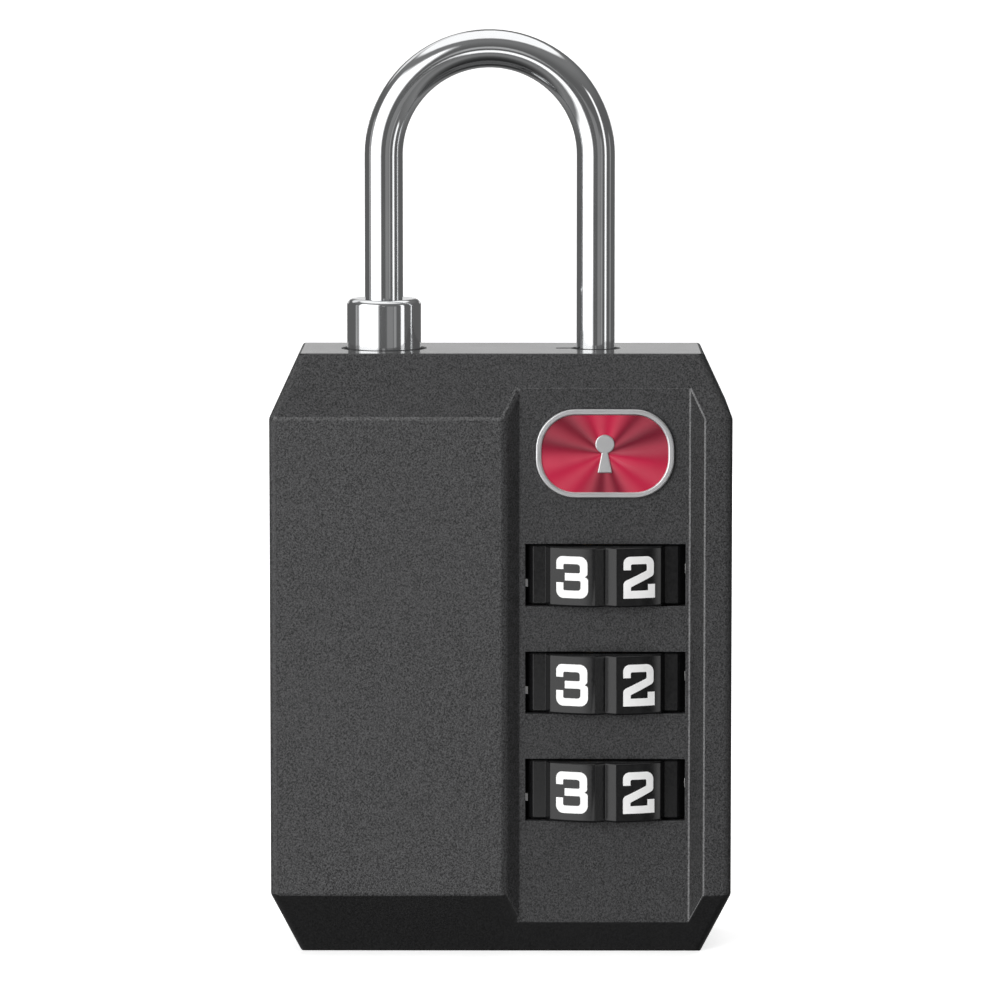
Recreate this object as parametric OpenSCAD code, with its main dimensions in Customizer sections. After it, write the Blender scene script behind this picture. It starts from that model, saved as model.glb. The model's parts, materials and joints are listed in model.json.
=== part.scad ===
// Luggage combination padlock: a cast case with three number dials, a wire shackle, and a key
// cylinder in its foot. X runs to the right, Y to the back and Z up; the origin is the centre of
// the case's foot. All sizes are in millimetres.

/* [Case] */
// Width of the case
body_w = 30; // [29.6:0.1:31]
// Height of the case
body_h = 39.3; // [39.2:0.1:41]
// Thickness of the case
body_t = 13.2; // [13:0.1:13.6]
// Height of the sloped ends
end_h = 4.05; // [3.6:0.05:4.2]
// How far the slopes come in at the front and the back
end_depth = 2.1; // [1.9:0.05:2.2]
// How far the slopes come in at the sides
end_taper = 1.87; // [1.5:0.01:2]
// Depth of the sunken panel in the front
panel_depth = 1; // [0.8:0.1:1]
// Width of the flat of the sunken panel
panel_w = 11.06; // [11:0.02:11.2]
// Width of the sloped border on each side of the panel
panel_slope = 0.93; // [0.6:0.01:1]

/* [Dials] */
// Outer radius of a dial
dial_r = 7.1; // [7.06:0.01:7.12]
// Height of a dial
dial_h = 3.9; // [3.7:0.05:3.9]
// Distance from one dial to the next
dial_pitch = 7.05; // [7.05:0.05:7.1]
// Height of the lowest dial's centre
dial_low_z = 10.85; // [10.8:0.05:10.9]
// Distance of the dials' axis to the right of the centre
dial_x = 6.8; // [6.75:0.05:6.85]
// Width of a window
window_w = 10.4; // [10:0.1:10.6]
// Height of a window
window_h = 4.05; // [4:0.01:4.1]
// Depth of the notches between the numbers
notch_depth = 0.5; // [0.3:0.05:0.6]

/* [Shackle] */
// Thickness of the shackle's wire
wire_d = 2.5; // [2.4:0.05:2.5]
// Place of the long leg
long_leg_x = -7.69; // [-7.8:0.01:-7.6]
// Place of the short leg
short_leg_x = 6.19; // [6.1:0.01:6.25]
// Height of the centre of the bow
bow_z = 51.99; // [46:0.01:56]
// Diameter of the collar on the long leg
collar_d = 4.85; // [4.4:0.05:4.9]
// Height of the collar's top
collar_top = 42.57; // [41.5:0.01:44]
// How far the shackle lifts
lift = 6.4; // [6.2:0.1:6.4]

/* [Badge] */
// Length of the badge
badge_w = 9; // [7:0.1:9.4]
// Height of the badge
badge_h = 5.8; // [4:0.1:6]
// Height of the badge's centre
badge_z = 32.9; // [32:0.1:33.2]

/* [Key cylinder] */
// Radius of the key plug
plug_r = 3; // [2.9:0.05:3]
// How far the cam raises the locking bar in a quarter turn
cam_rise = 0.75; // [0.7:0.01:0.75]

/* [Hidden] */
$fn = 64;

front_y = -body_t / 2;
panel_y = front_y + panel_depth;
panel_edge = panel_w / 2 + panel_slope;
panel_x = 6.74;
far = 60; // longer than anything that a cut passes through

// The back cover lies on a ledge and follows the sloped ends
cover_t = 1.2;
cover_y = body_t / 2 - cover_t;
cover_side = 0.8;
cover_end = 2.6;
cover_gap = 0.04;
rivet_x = [-12.6, 12.6];
rivet_z = [5.9, 33.4];
rivet_head_r = 0.9;
rivet_head_t = 0.5;
rivet_shank_r = 0.5;
rivet_end_y = 4.3;

// The badge is let into the panel
badge_corner = 2.6;
badge_rim = 0.4;
badge_proud = 0.35;
badge_sunk = 0.5;
inlay_proud = 0.2;

// The dials turn on a spindle; each one is keyed to a hub that carries a gated ring
dial_zs = [dial_low_z, dial_low_z + dial_pitch, dial_low_z + 2 * dial_pitch];
numbers = 10;
notch_half_angle = 5.5;
dial_bore_r = 3.05;
dial_key_r = 3.6;
dial_key_w = 0.75;
dial_edge = 0.18;
pocket_r = dial_r + 0.25;
hub_r = 3;
hub_key_r = 3.5;
hub_key_w = 0.6;
hub_bottom = -1.9;
flange_z = 2.05;
flange_t = 0.45;
ring_in_r = 3.4;
ring_out_r = 4.1;
ring_top = 3.3;
gate_w = 1.3;
channel_r = 4.6;
channel_low = 7;
channel_high = 30.3;
spindle_r = 1.2;
spindle_clear = 0.05;
spindle_low = 5.6;
spindle_high = 31.6;
spacer_r = 1.9;
spacer_gap = 0.1;
leaf_x = [-0.85, -0.6];
leaf_y = [1.2, 3.3];
leaf_low = 6.9;
leaf_free = 7.4;
leaf_tip_gap = 0.08;
leaf_tip_angle = 162;
leaf_tip_half_w = 0.72;
leaf_tip_half_h = 0.6;
leaf_clear = 0.1;
leaf_flex = 0.4;

// The latch slides to the left out of the short leg's notch and takes the locking bar along
latch_travel = 2;
latch_z = [35, 36.4];
latch_x = [-2.6, 5.75];
latch_half_w = 1.25;
latch_clear = 0.1;
latch_room_left = -4.75;
bar_x = [-1.9, -0.9];
bar_half_w = 0.5;
bar_low = 13.7;
bar_high = 35.6;
arm_z = 3.45;
arm_t = 0.6;
tab_x = [3.6, 4.2];
tab_half_w = 0.4;
tab_drop = 0.8;
tab_clear = 0.15;
bar_clear = 0.3;
bar_room_x = [-4.75, -0.4];
bar_room_front = -1.1;
spring_pin_x = 0.95;
spring_pin_r = 0.3;
spring_pin_z = [latch_z[0] - 1.4, latch_z[1] + 0.5];
latch_slot_x = [0.6, 4.2];
latch_slot_half_w = 0.7;

// The short leg's notch: a flat roof and a ramp that pushes the latch aside
leg_r = wire_d / 2;
short_tip = 33.4;
notch_floor_x = latch_x[1] + 0.14;
notch_roof = latch_z[1] + 0.15;
notch_low = latch_z[0] - 0.15;
ramp = 0.3;
tip_chamfer = 0.3;
short_bore_r = leg_r + 0.08;
short_bore_low = 33.2;
relief_x = 3.65;
relief_w = 0.6;
relief_depth = 0.6;
rim_sink = 0.2;

// The long leg slides in a bore; its clip stops it at the top, and a spring pushes the clip
long_tip = 17.5;
clip_z = 20.4;
clip_t = 0.8;
clip_r = 2.1;
clip_groove_r = 1;
clip_gap = 1.4;
long_bore_r = leg_r + 0.06;
collar_low = 31.5;
collar_rim = 0.25;
collar_bore_r = collar_d / 2 + 0.07;
collar_bore_low = 31.3;
chamber_r = 2.4;
chamber_low = 17;
chamber_high = clip_z + clip_t + lift + 0.1;

// The key cylinder stands under the long leg; its cam has a slanted face
plug_x = -7.7;
plug_low = 0.08;
plug_top = 10.6;
plug_clear = 0.05;
lip_t = 0.8;
housing_r = 3.9;
housing_top = 10.4;
neck_r = 1.5;
plug_clip_t = 0.5;
plug_clip_r = 3.5;
plug_clip_gap = 1.8;
cam_low = 11.3;
cam_mid = 12.6;
cam_r = 2.9;
tang_w = 2;
tang_clear = 0.03;
tang_top = 12.1;
foot_r = 2.2; // distance of the bar's foot from the plug's axis
foot_half_w = 0.4;
foot_gap = 0.25;
foot_arm_t = 0.8;
cam_slant = atan(cam_rise / (2 * foot_r * sin(45)));
cam_room_x = [-13.4, -3.7];
cam_room_front = -3.8;
cam_room_low = 10.4;
cam_room_high = 15.6;
keyway_w = 0.9;
keyway_half_l = 2.1;
keyway_top = 10;
wafer_zs = [2.4, 4.2, 6, 7.8];
wafer_t = 0.6;
wafer_half_w = 1.4;
wafer_half_l = 2.4;
wafer_clear = 0.08;
wafer_key_half_l = 1.3;
wafer_notch_x = 0.8;
wafer_notch_y = [-1.6, 1.2];
wafer_spring_r = 0.17;
wafer_wire = 0.1;

paint = [0.22, 0.22, 0.225];
chrome = [0.82, 0.83, 0.84];
steel = [0.62, 0.63, 0.65];
brass = [0.78, 0.62, 0.33];
black = [0.07, 0.07, 0.07];
red = [0.62, 0.05, 0.1];

// ---- shared shapes ----

// A box between two corners
module block(low, high) {
    translate(low)
        cube(high - low);
}

// A flat outline in X and Z, given depth from y0 to y1
module along_y(y0, y1) {
    translate([0, y1, 0])
        rotate([90, 0, 0])
            linear_extrude(y1 - y0)
                children();
}

// A flat outline in Y and Z, given length from x0 to x1
module along_x(x0, x1) {
    translate([x0, 0, 0])
        rotate([90, 0, 90])
            linear_extrude(x1 - x0)
                children();
}

// An upright round bar
module post(x, r, low, high) {
    translate([x, 0, low])
        cylinder(r = r, h = high - low);
}

// An upright round hole that is open towards the back
module back_slot(x, r, low, high) {
    post(x, r, low, high);
    block([x - r, 0, low], [x + r, cover_y + 0.01, high]);
}

// A flat ring
module washer(outer_r, inner_r, t) {
    difference() {
        cylinder(r = outer_r, h = t);
        translate([0, 0, -t])
            cylinder(r = inner_r, h = 3 * t);
    }
}

// A rectangle with round corners, centred
module rounded(w, h, r) {
    square([w - 2 * r, h], center = true);
    square([w, h - 2 * r], center = true);
    for (x = [r - w / 2, w / 2 - r], y = [r - h / 2, h / 2 - r])
        translate([x, y])
            circle(r);
}

// A disc with one radial key or key slot for each number
module keyed(r, key_r, key_w) {
    circle(r);
    for (k = [0:numbers - 1])
        rotate(k * 360 / numbers)
            translate([0, -key_w / 2])
                square([key_r, key_w]);
}

// Points of one ring of a coil's wire
function coil_ring(radius, wire, angle, z, sides) = [
    for (s = [0:sides - 1])
        let (b = 360 * s / sides, r = radius + wire / 2 * cos(b))
            [r * cos(angle), r * sin(angle), z + wire / 2 * sin(b)]
];

// A wire wound into a helix about Z, standing on z = 0
module coil(radius, wire, height, turns, sides = 6, steps = 12) {
    n = turns * steps;
    points = [
        for (i = [0:n])
            each coil_ring(radius, wire, 360 * i / steps, wire / 2 + (height - wire) * i / n, sides)
    ];
    walls = [
        for (i = [0:n - 1], s = [0:sides - 1])
            let (a = i * sides + s, b = i * sides + (s + 1) % sides)
                each [[a, b, b + sides], [a, b + sides, a + sides]]
    ];
    first = [for (s = [sides - 1:-1:0]) s];
    last = [for (s = [0:sides - 1]) n * sides + s];
    polyhedron(points, concat(walls, [first, last]), convexity = 10);
}

// ---- case ----

// An outline with sloped ends, seen along one axis
function sloped(half, cut) = [
    [cut - half, 0], [half - cut, 0], [half, end_h], [half, body_h - end_h],
    [half - cut, body_h], [cut - half, body_h], [-half, body_h - end_h], [-half, end_h]
];

// The solid block of the case, with its ends sloped on all four sides
module case_block() {
    intersection() {
        along_y(-body_t, body_t)
            polygon(sloped(body_w / 2, end_taper));
        along_x(-body_w, body_w)
            polygon(sloped(body_t / 2, end_depth));
    }
}

// The sunken panel and its sloped borders, cut from end to end
module panel_cut() {
    out = panel_edge + panel_slope;
    translate([panel_x, 0, -1])
        linear_extrude(body_h + 2)
            polygon([
                [-out, front_y - panel_depth], [-panel_w / 2, panel_y],
                [panel_w / 2, panel_y], [out, front_y - panel_depth]
            ]);
}

// The windows of the three dials, from y0 to y1
module windows(y0, y1) {
    for (z = dial_zs)
        block(
            [dial_x - window_w / 2, y0, z - window_h / 2],
            [dial_x + window_w / 2, y1, z + window_h / 2]
        );
}

// The outline of the back cover in X and Z
module cover_outline(gap) {
    translate([0, body_h / 2])
        rounded(
            body_w - 2 * cover_side - 2 * gap,
            body_h - 2 * cover_end - 2 * gap,
            1
        );
}

// The badge's outline in X and Z, set in by `inset` all round
module badge_outline(inset) {
    translate([panel_x, badge_z])
        rounded(badge_w - 2 * inset, badge_h - 2 * inset, badge_corner - inset);
}

// The four rivets, which fill their holes
module rivet_shapes() {
    for (x = rivet_x, z = rivet_z)
        translate([x, 0, z])
            rotate([-90, 0, 0]) {
                translate([0, 0, body_t / 2 - rivet_head_t])
                    cylinder(r = rivet_head_r, h = rivet_head_t);
                translate([0, 0, rivet_end_y])
                    cylinder(r = rivet_shank_r, h = body_t / 2 - rivet_head_t / 2 - rivet_end_y);
            }
}

// Room for the dials, their hubs and the spindle
module dial_room() {
    for (z = dial_zs) {
        post(dial_x, pocket_r, z - window_h / 2, z + window_h / 2);
        block(
            [dial_x - pocket_r, 0, z - window_h / 2],
            [min(dial_x + pocket_r, body_w / 2 - cover_side), cover_y + 0.01, z + window_h / 2]
        );
    }
    back_slot(dial_x, channel_r, channel_low, channel_high);
    back_slot(dial_x, spindle_r, spindle_low, spindle_high);
    windows(-far, 0);
}

// Room for the latch and the locking bar with its arms
module latch_room() {
    block(
        [latch_room_left, -latch_half_w - latch_clear, latch_z[0] - latch_clear],
        [short_leg_x, cover_y + 0.01, latch_z[1] + latch_clear]
    );
    block(
        [bar_room_x[0], bar_room_front, bar_low - bar_clear],
        [bar_room_x[1], cover_y + 0.01, latch_z[0]]
    );
    for (z = dial_zs) {
        block(
            [bar_room_x[1] - 0.1, bar_room_front, z + arm_z - 0.2],
            [dial_x, cover_y + 0.01, z + arm_z + arm_t + cam_rise + 0.1]
        );
        block(
            [tab_x[0] - latch_travel - tab_clear, bar_room_front, z + arm_z - tab_drop - tab_clear],
            [dial_x, cover_y + 0.01, z + arm_z]
        );
    }
    post(spring_pin_x, spring_pin_r, spring_pin_z[0], spring_pin_z[1]);
    block(
        [leaf_x[0] - leaf_clear, leaf_y[0] - leaf_clear, leaf_free],
        [leaf_x[1] + leaf_flex, leaf_y[1] + leaf_clear, bar_low]
    );
    block([leaf_x[0], leaf_y[0], leaf_low], [leaf_x[1], leaf_y[1], leaf_free + 0.01]);
}

// The chamfered mouth of a leg's hole in the top face
module mouth(x, r) {
    translate([x, 0, body_h - rim_sink])
        cylinder(r1 = r, r2 = r + 2 * rim_sink, h = 2 * rim_sink);
}

// Room for the shackle's two legs
module leg_room() {
    post(long_leg_x, long_bore_r, chamber_high - 0.01, far);
    post(long_leg_x, collar_bore_r, collar_bore_low, far);
    back_slot(long_leg_x, chamber_r, chamber_low, chamber_high);
    post(short_leg_x, short_bore_r, short_bore_low, far);
    mouth(long_leg_x, collar_bore_r);
    mouth(short_leg_x, short_bore_r);
    block([relief_x, -relief_w / 2, body_h - relief_depth], [short_leg_x, relief_w / 2, far]);
}

// Room for the key cylinder and its cam
module cylinder_room() {
    post(plug_x, plug_r + plug_clear, -1, lip_t + 0.01);
    post(plug_x, housing_r, lip_t, cam_room_low + 0.01);
    block(
        [cam_room_x[0], cam_room_front, cam_room_low],
        [cam_room_x[1], cover_y + 0.01, cam_room_high]
    );
    block(
        [cam_room_x[1] - 0.1, bar_room_front, bar_low - bar_clear],
        [bar_room_x[1], cover_y + 0.01, cam_room_high]
    );
}

module body_shell() {
    color(paint)
        difference() {
            case_block();
            panel_cut();
            along_y(cover_y, far)
                cover_outline(0);
            dial_room();
            latch_room();
            leg_room();
            cylinder_room();
            rivet_shapes();
            along_y(panel_y - 1, panel_y + badge_sunk)
                badge_outline(0);
        }
}

module back_cover() {
    color(paint)
        difference() {
            intersection() {
                case_block();
                along_y(cover_y, far)
                    cover_outline(cover_gap);
            }
            windows(0, far);
            rivet_shapes();
        }
}

module cover_rivets() {
    color(steel)
        rivet_shapes();
}

// ---- badge ----

module emblem_bezel() {
    color(chrome)
        along_y(panel_y - badge_proud, panel_y + badge_sunk)
            difference() {
                badge_outline(0);
                badge_outline(badge_rim);
            }
}

module emblem_inlay() {
    color(red)
        along_y(panel_y - inlay_proud, panel_y + badge_sunk)
            badge_outline(badge_rim);
}

// ---- dials ----

module dial_spindle() {
    color(steel)
        post(dial_x, spindle_r, spindle_low, spindle_high);
}

// Sleeves that keep the hubs apart
module dial_spacers() {
    low = flange_z + flange_t + spacer_gap;
    high = dial_pitch + hub_bottom - spacer_gap;
    color(brass)
        for (z = dial_zs)
            translate([dial_x, 0, z + low])
                washer(spacer_r, spindle_r + spindle_clear, min(high - low, channel_high - z - low));
}

// A leaf with one pointed bump for each dial's notches
module detent_spring() {
    tip_r = dial_r + leaf_tip_gap;
    tip = [dial_x + tip_r * cos(leaf_tip_angle), tip_r * sin(leaf_tip_angle)];
    root_x = leaf_x[1] - 0.05;
    color(steel) {
        block([leaf_x[0], leaf_y[0], leaf_low], [leaf_x[1], leaf_y[1], spindle_high]);
        for (z = dial_zs)
            translate([0, 0, z - leaf_tip_half_h])
                linear_extrude(2 * leaf_tip_half_h)
                    polygon([
                        [root_x, tip[1] - leaf_tip_half_w], tip, [root_x, tip[1] + leaf_tip_half_w]
                    ]);
    }
}

module reset_spring() {
    color(steel)
        translate([dial_x, 0, channel_low])
            coil(1.7, 0.32, dial_low_z + hub_bottom - channel_low - 0.05, 3);
}

// One number dial, centred on its own height
module dial() {
    notch_half_w = dial_r * sin(notch_half_angle);
    difference() {
        union() {
            translate([0, 0, -dial_h / 2 + dial_edge])
                cylinder(r = dial_r, h = dial_h - 2 * dial_edge);
            for (side = [-1, 1])
                translate([0, 0, side * (dial_h / 2 - dial_edge) + min(side, 0) * dial_edge])
                    cylinder(
                        r1 = dial_r - (side < 0 ? dial_edge : 0),
                        r2 = dial_r - (side > 0 ? dial_edge : 0),
                        h = dial_edge
                    );
        }
        for (k = [0:numbers - 1])
            rotate(-90 + k * 360 / numbers)
                translate([0, 0, -dial_h])
                    linear_extrude(2 * dial_h)
                        polygon([
                            [dial_r - notch_depth, 0],
                            [dial_r + 0.1, notch_half_w * 1.2],
                            [dial_r + 0.1, -notch_half_w * 1.2]
                        ]);
        translate([0, 0, -dial_h])
            linear_extrude(2 * dial_h)
                keyed(dial_bore_r, dial_key_r, dial_key_w);
    }
}

// The hub that a dial turns, with its gated ring above the dial
module hub() {
    difference() {
        union() {
            translate([0, 0, hub_bottom])
                linear_extrude(flange_z - hub_bottom + 0.01)
                    keyed(hub_r, hub_key_r, hub_key_w);
            translate([0, 0, flange_z])
                cylinder(r = ring_out_r, h = flange_t);
            translate([0, 0, flange_z])
                washer(ring_out_r, ring_in_r, ring_top - flange_z);
        }
        translate([0, 0, 2 * hub_bottom])
            cylinder(r = spindle_r + spindle_clear, h = ring_top - 3 * hub_bottom);
        block(
            [-ring_out_r - 1, -gate_w / 2, flange_z + flange_t],
            [-ring_in_r + 0.5, gate_w / 2, ring_top + 1]
        );
    }
}

module on_spindle(index) {
    translate([dial_x, 0, dial_zs[index]])
        children();
}

module dial_top() {
    color(black)
        on_spindle(2)
            dial();
}

module dial_middle() {
    color(black)
        on_spindle(1)
            dial();
}

module dial_bottom() {
    color(black)
        on_spindle(0)
            dial();
}

module hub_top() {
    color(brass)
        on_spindle(2)
            hub();
}

module hub_middle() {
    color(brass)
        on_spindle(1)
            hub();
}

module hub_bottom() {
    color(brass)
        on_spindle(0)
            hub();
}

// ---- shackle ----

module shackle() {
    bow_x = (long_leg_x + short_leg_x) / 2;
    bow_r = (short_leg_x - long_leg_x) / 2;
    color(chrome)
        difference() {
            union() {
                translate([bow_x, 0, bow_z])
                    rotate([90, 0, 0])
                        rotate_extrude(angle = 180)
                            translate([bow_r, 0])
                                circle(leg_r);
                for (leg = [[long_leg_x, long_tip], [short_leg_x, short_tip]]) {
                    post(leg[0], leg_r, leg[1] + tip_chamfer, bow_z);
                    translate([leg[0], 0, leg[1]])
                        cylinder(r1 = leg_r - tip_chamfer, r2 = leg_r, h = tip_chamfer);
                }
            }
            along_y(-wire_d, wire_d)
                polygon([
                    [short_leg_x - wire_d, notch_roof], [notch_floor_x, notch_roof],
                    [notch_floor_x, notch_low],
                    [notch_floor_x - ramp * (notch_low - short_tip + 1), short_tip - 1],
                    [short_leg_x - wire_d, short_tip - 1]
                ]);
            translate([long_leg_x, 0, clip_z])
                washer(wire_d, clip_groove_r, clip_t);
        }
}

module shackle_collar() {
    rim = collar_rim;
    color(chrome)
        translate([long_leg_x, 0, 0])
            rotate_extrude()
                polygon([
                    [leg_r, collar_low], [collar_d / 2 - rim, collar_low],
                    [collar_d / 2, collar_low + rim], [collar_d / 2, collar_top - rim],
                    [collar_d / 2 - rim, collar_top], [leg_r, collar_top]
                ]);
}

// A snap ring with an open side
module retaining_clip() {
    color(steel)
        translate([long_leg_x, 0, clip_z])
            difference() {
                washer(clip_r, clip_groove_r, clip_t);
                block([-clip_gap / 2, 0, -clip_t], [clip_gap / 2, clip_r + 1, 2 * clip_t]);
            }
}

module shackle_spring() {
    color(steel)
        translate([long_leg_x, 0, chamber_low])
            coil(1.7, 0.36, clip_z - chamber_low - 0.05, 4);
}

// ---- latch ----

module latch_bolt() {
    color(steel)
        difference() {
            block([latch_x[0], -latch_half_w, latch_z[0]], [latch_x[1], latch_half_w, latch_z[1]]);
            block(
                [bar_x[0] - latch_clear, -bar_half_w - latch_clear, 0],
                [bar_x[1] + latch_clear, bar_half_w + latch_clear, far]
            );
            block(
                [latch_slot_x[0], -latch_slot_half_w, 0],
                [latch_slot_x[1], latch_slot_half_w, far]
            );
        }
}

module latch_spring_pin() {
    color(steel)
        post(spring_pin_x, spring_pin_r, spring_pin_z[0], spring_pin_z[1]);
}

module latch_spring() {
    start = spring_pin_x + spring_pin_r + 0.02;
    color(steel)
        translate([start, 0, (latch_z[0] + latch_z[1]) / 2])
            rotate([0, 90, 0])
                coil(0.42, 0.18, latch_slot_x[1] - start - 0.05, 5);
}

// A comb: its tabs sit inside the hubs' rings, and its foot rides above the cam
module locking_bar() {
    foot_x = plug_x - foot_r;
    foot_low = cam_mid - cam_rise / 2 + foot_gap;
    color(steel) {
        block([bar_x[0], -bar_half_w, bar_low], [bar_x[1], bar_half_w, bar_high]);
        block(
            [foot_x - foot_half_w, -bar_half_w, bar_low],
            [bar_x[1], bar_half_w, bar_low + foot_arm_t]
        );
        block(
            [foot_x - foot_half_w, -bar_half_w, foot_low],
            [foot_x + foot_half_w, bar_half_w, bar_low + 0.1]
        );
        for (z = dial_zs) {
            block([bar_x[0], -bar_half_w, z + arm_z], [tab_x[1], bar_half_w, z + arm_z + arm_t]);
            block(
                [tab_x[0], -tab_half_w, z + arm_z - tab_drop],
                [tab_x[1], tab_half_w, z + arm_z + 0.1]
            );
        }
    }
}

// ---- key cylinder ----

module cylinder_housing() {
    color(brass)
        translate([plug_x, 0, lip_t])
            washer(housing_r, plug_r + plug_clear, housing_top - lip_t);
}

module key_plug() {
    color(brass)
        translate([plug_x, 0, 0])
            difference() {
                union() {
                    post(0, plug_r, plug_low, plug_top);
                    post(0, neck_r, plug_top - 0.01, cam_low);
                    block([-tang_w / 2, -tang_w / 2, cam_low - 0.01], [tang_w / 2, tang_w / 2, tang_top]);
                }
                block([-keyway_w / 2, -keyway_half_l, -1], [keyway_w / 2, keyway_half_l, keyway_top]);
                for (z = wafer_zs)
                    translate([0, 0, z])
                        wafer_blank(wafer_clear);
            }
}

// A plain wafer centred on its own height, larger by `extra` on every side
module wafer_blank(extra) {
    block(
        [-wafer_half_w - extra, -wafer_half_l - extra, -wafer_t / 2 - extra],
        [wafer_half_w + extra, wafer_half_l + extra, wafer_t / 2 + extra]
    );
}

// Flat plates with a window for the key and a notch for their spring
module wafers() {
    color(brass)
        for (z = wafer_zs)
            translate([plug_x, 0, z])
                difference() {
                    wafer_blank(0);
                    block(
                        [-keyway_w / 2 - 0.1, -wafer_key_half_l, -1],
                        [keyway_w / 2 + 0.1, wafer_key_half_l, 1]
                    );
                    block([wafer_notch_x, wafer_notch_y[0], -1], [far, wafer_notch_y[1], 1]);
                }
}

module wafer_springs() {
    color(steel)
        for (z = wafer_zs)
            translate([plug_x + (wafer_notch_x + wafer_half_w) / 2 + 0.02, wafer_notch_y[1] - 0.05, z])
                rotate([90, 0, 0])
                    coil(wafer_spring_r, wafer_wire, wafer_notch_y[1] - wafer_notch_y[0] - 0.1, 4, 4, 8);
}

// A disc with a slanted top, highest between +X and +Y while the key is at rest
module plug_cam() {
    color(steel)
        translate([plug_x, 0, 0])
            difference() {
                post(0, cam_r, cam_low, cam_mid + 1);
                translate([0, 0, cam_mid])
                    rotate([0, 0, 45])
                        rotate([0, -cam_slant, 0])
                            translate([-far / 2, -far / 2, 0])
                                cube(far);
                block(
                    [-tang_w / 2 - tang_clear, -tang_w / 2 - tang_clear, cam_low - 1],
                    [tang_w / 2 + tang_clear, tang_w / 2 + tang_clear, tang_top + 0.05]
                );
            }
}

module plug_clip() {
    color(steel)
        translate([plug_x, 0, plug_top])
            difference() {
                washer(plug_clip_r, neck_r, plug_clip_t);
                block(
                    [-plug_clip_gap / 2, -plug_clip_r - 1, -plug_clip_t],
                    [plug_clip_gap / 2, 0, 2 * plug_clip_t]
                );
            }
}

// ---- parts ----

body_shell();
back_cover();
cover_rivets();
emblem_bezel();
emblem_inlay();
dial_spindle();
dial_spacers();
detent_spring();
reset_spring();
latch_spring();
latch_spring_pin();
shackle_spring();
cylinder_housing();
shackle();
shackle_collar();
retaining_clip();
dial_top();
dial_middle();
dial_bottom();
hub_top();
hub_middle();
hub_bottom();
latch_bolt();
locking_bar();
key_plug();
wafers();
wafer_springs();
plug_cam();
plug_clip();
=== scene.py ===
"""Looks of the luggage padlock: rounded case, numbered dials, badge, materials, studio and camera."""

import json
import math

import bmesh
import bpy
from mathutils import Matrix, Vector

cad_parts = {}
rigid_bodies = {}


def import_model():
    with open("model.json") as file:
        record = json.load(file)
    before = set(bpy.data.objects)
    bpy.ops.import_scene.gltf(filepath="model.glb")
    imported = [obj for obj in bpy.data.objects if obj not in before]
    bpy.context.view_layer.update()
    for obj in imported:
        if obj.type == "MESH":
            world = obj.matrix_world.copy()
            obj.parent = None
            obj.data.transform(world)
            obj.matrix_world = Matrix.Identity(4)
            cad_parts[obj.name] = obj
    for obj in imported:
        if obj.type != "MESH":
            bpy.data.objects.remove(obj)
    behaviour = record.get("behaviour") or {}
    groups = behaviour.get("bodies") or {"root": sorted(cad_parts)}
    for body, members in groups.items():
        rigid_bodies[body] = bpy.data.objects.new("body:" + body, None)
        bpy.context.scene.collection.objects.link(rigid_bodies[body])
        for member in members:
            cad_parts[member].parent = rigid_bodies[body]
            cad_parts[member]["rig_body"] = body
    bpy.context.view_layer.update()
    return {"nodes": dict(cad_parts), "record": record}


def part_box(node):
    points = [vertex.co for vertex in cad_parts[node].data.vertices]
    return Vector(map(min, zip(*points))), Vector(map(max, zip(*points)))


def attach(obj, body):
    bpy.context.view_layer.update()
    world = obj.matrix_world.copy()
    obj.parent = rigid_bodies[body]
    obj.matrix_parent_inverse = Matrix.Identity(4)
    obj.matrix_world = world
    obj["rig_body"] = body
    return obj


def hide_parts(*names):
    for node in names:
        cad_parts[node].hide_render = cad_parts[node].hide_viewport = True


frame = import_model()

MM = 0.001
NODES = frame["nodes"]
LOW, HIGH = (Vector(corner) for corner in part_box("body_shell"))
HALF_W, HALF_T, CASE_H = HIGH.x, HIGH.y, HIGH.z

# Sizes of the case that its faces and edges are found by
END_H = 4.05 * MM           # height of the sloped ends
PANEL_Y = LOW.y + 1.0 * MM  # depth of the sunken panel
PANEL_LEFT_X = 1.5 * MM     # the panel's left slope lies to the left of this
COVER_LIP = 0.9 * MM        # how deep the back cover's rim reaches
NEAR = 0.004 * MM

# How a copy of a CAD mesh is cleaned, rounded and shaded
MERGE = 0.0005 * MM
FLAT_ANGLE = math.radians(0.4)
SHARP_ANGLE = math.radians(18)
FACE_SHARE = 100            # how strongly the largest faces lead in weighted normals
ROUND_SEGMENTS = 3

DIALS = ("dial_top", "dial_middle", "dial_bottom")

# Turns the case's grain askew, in radians
GRAIN_TURN = (0.61, 0.35, 0.87)


# ---- material building blocks ----

# How far an edge turns the softened normal: cosines for full wear and for none
EDGE_TURN = (0.82, 0.995)


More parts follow.
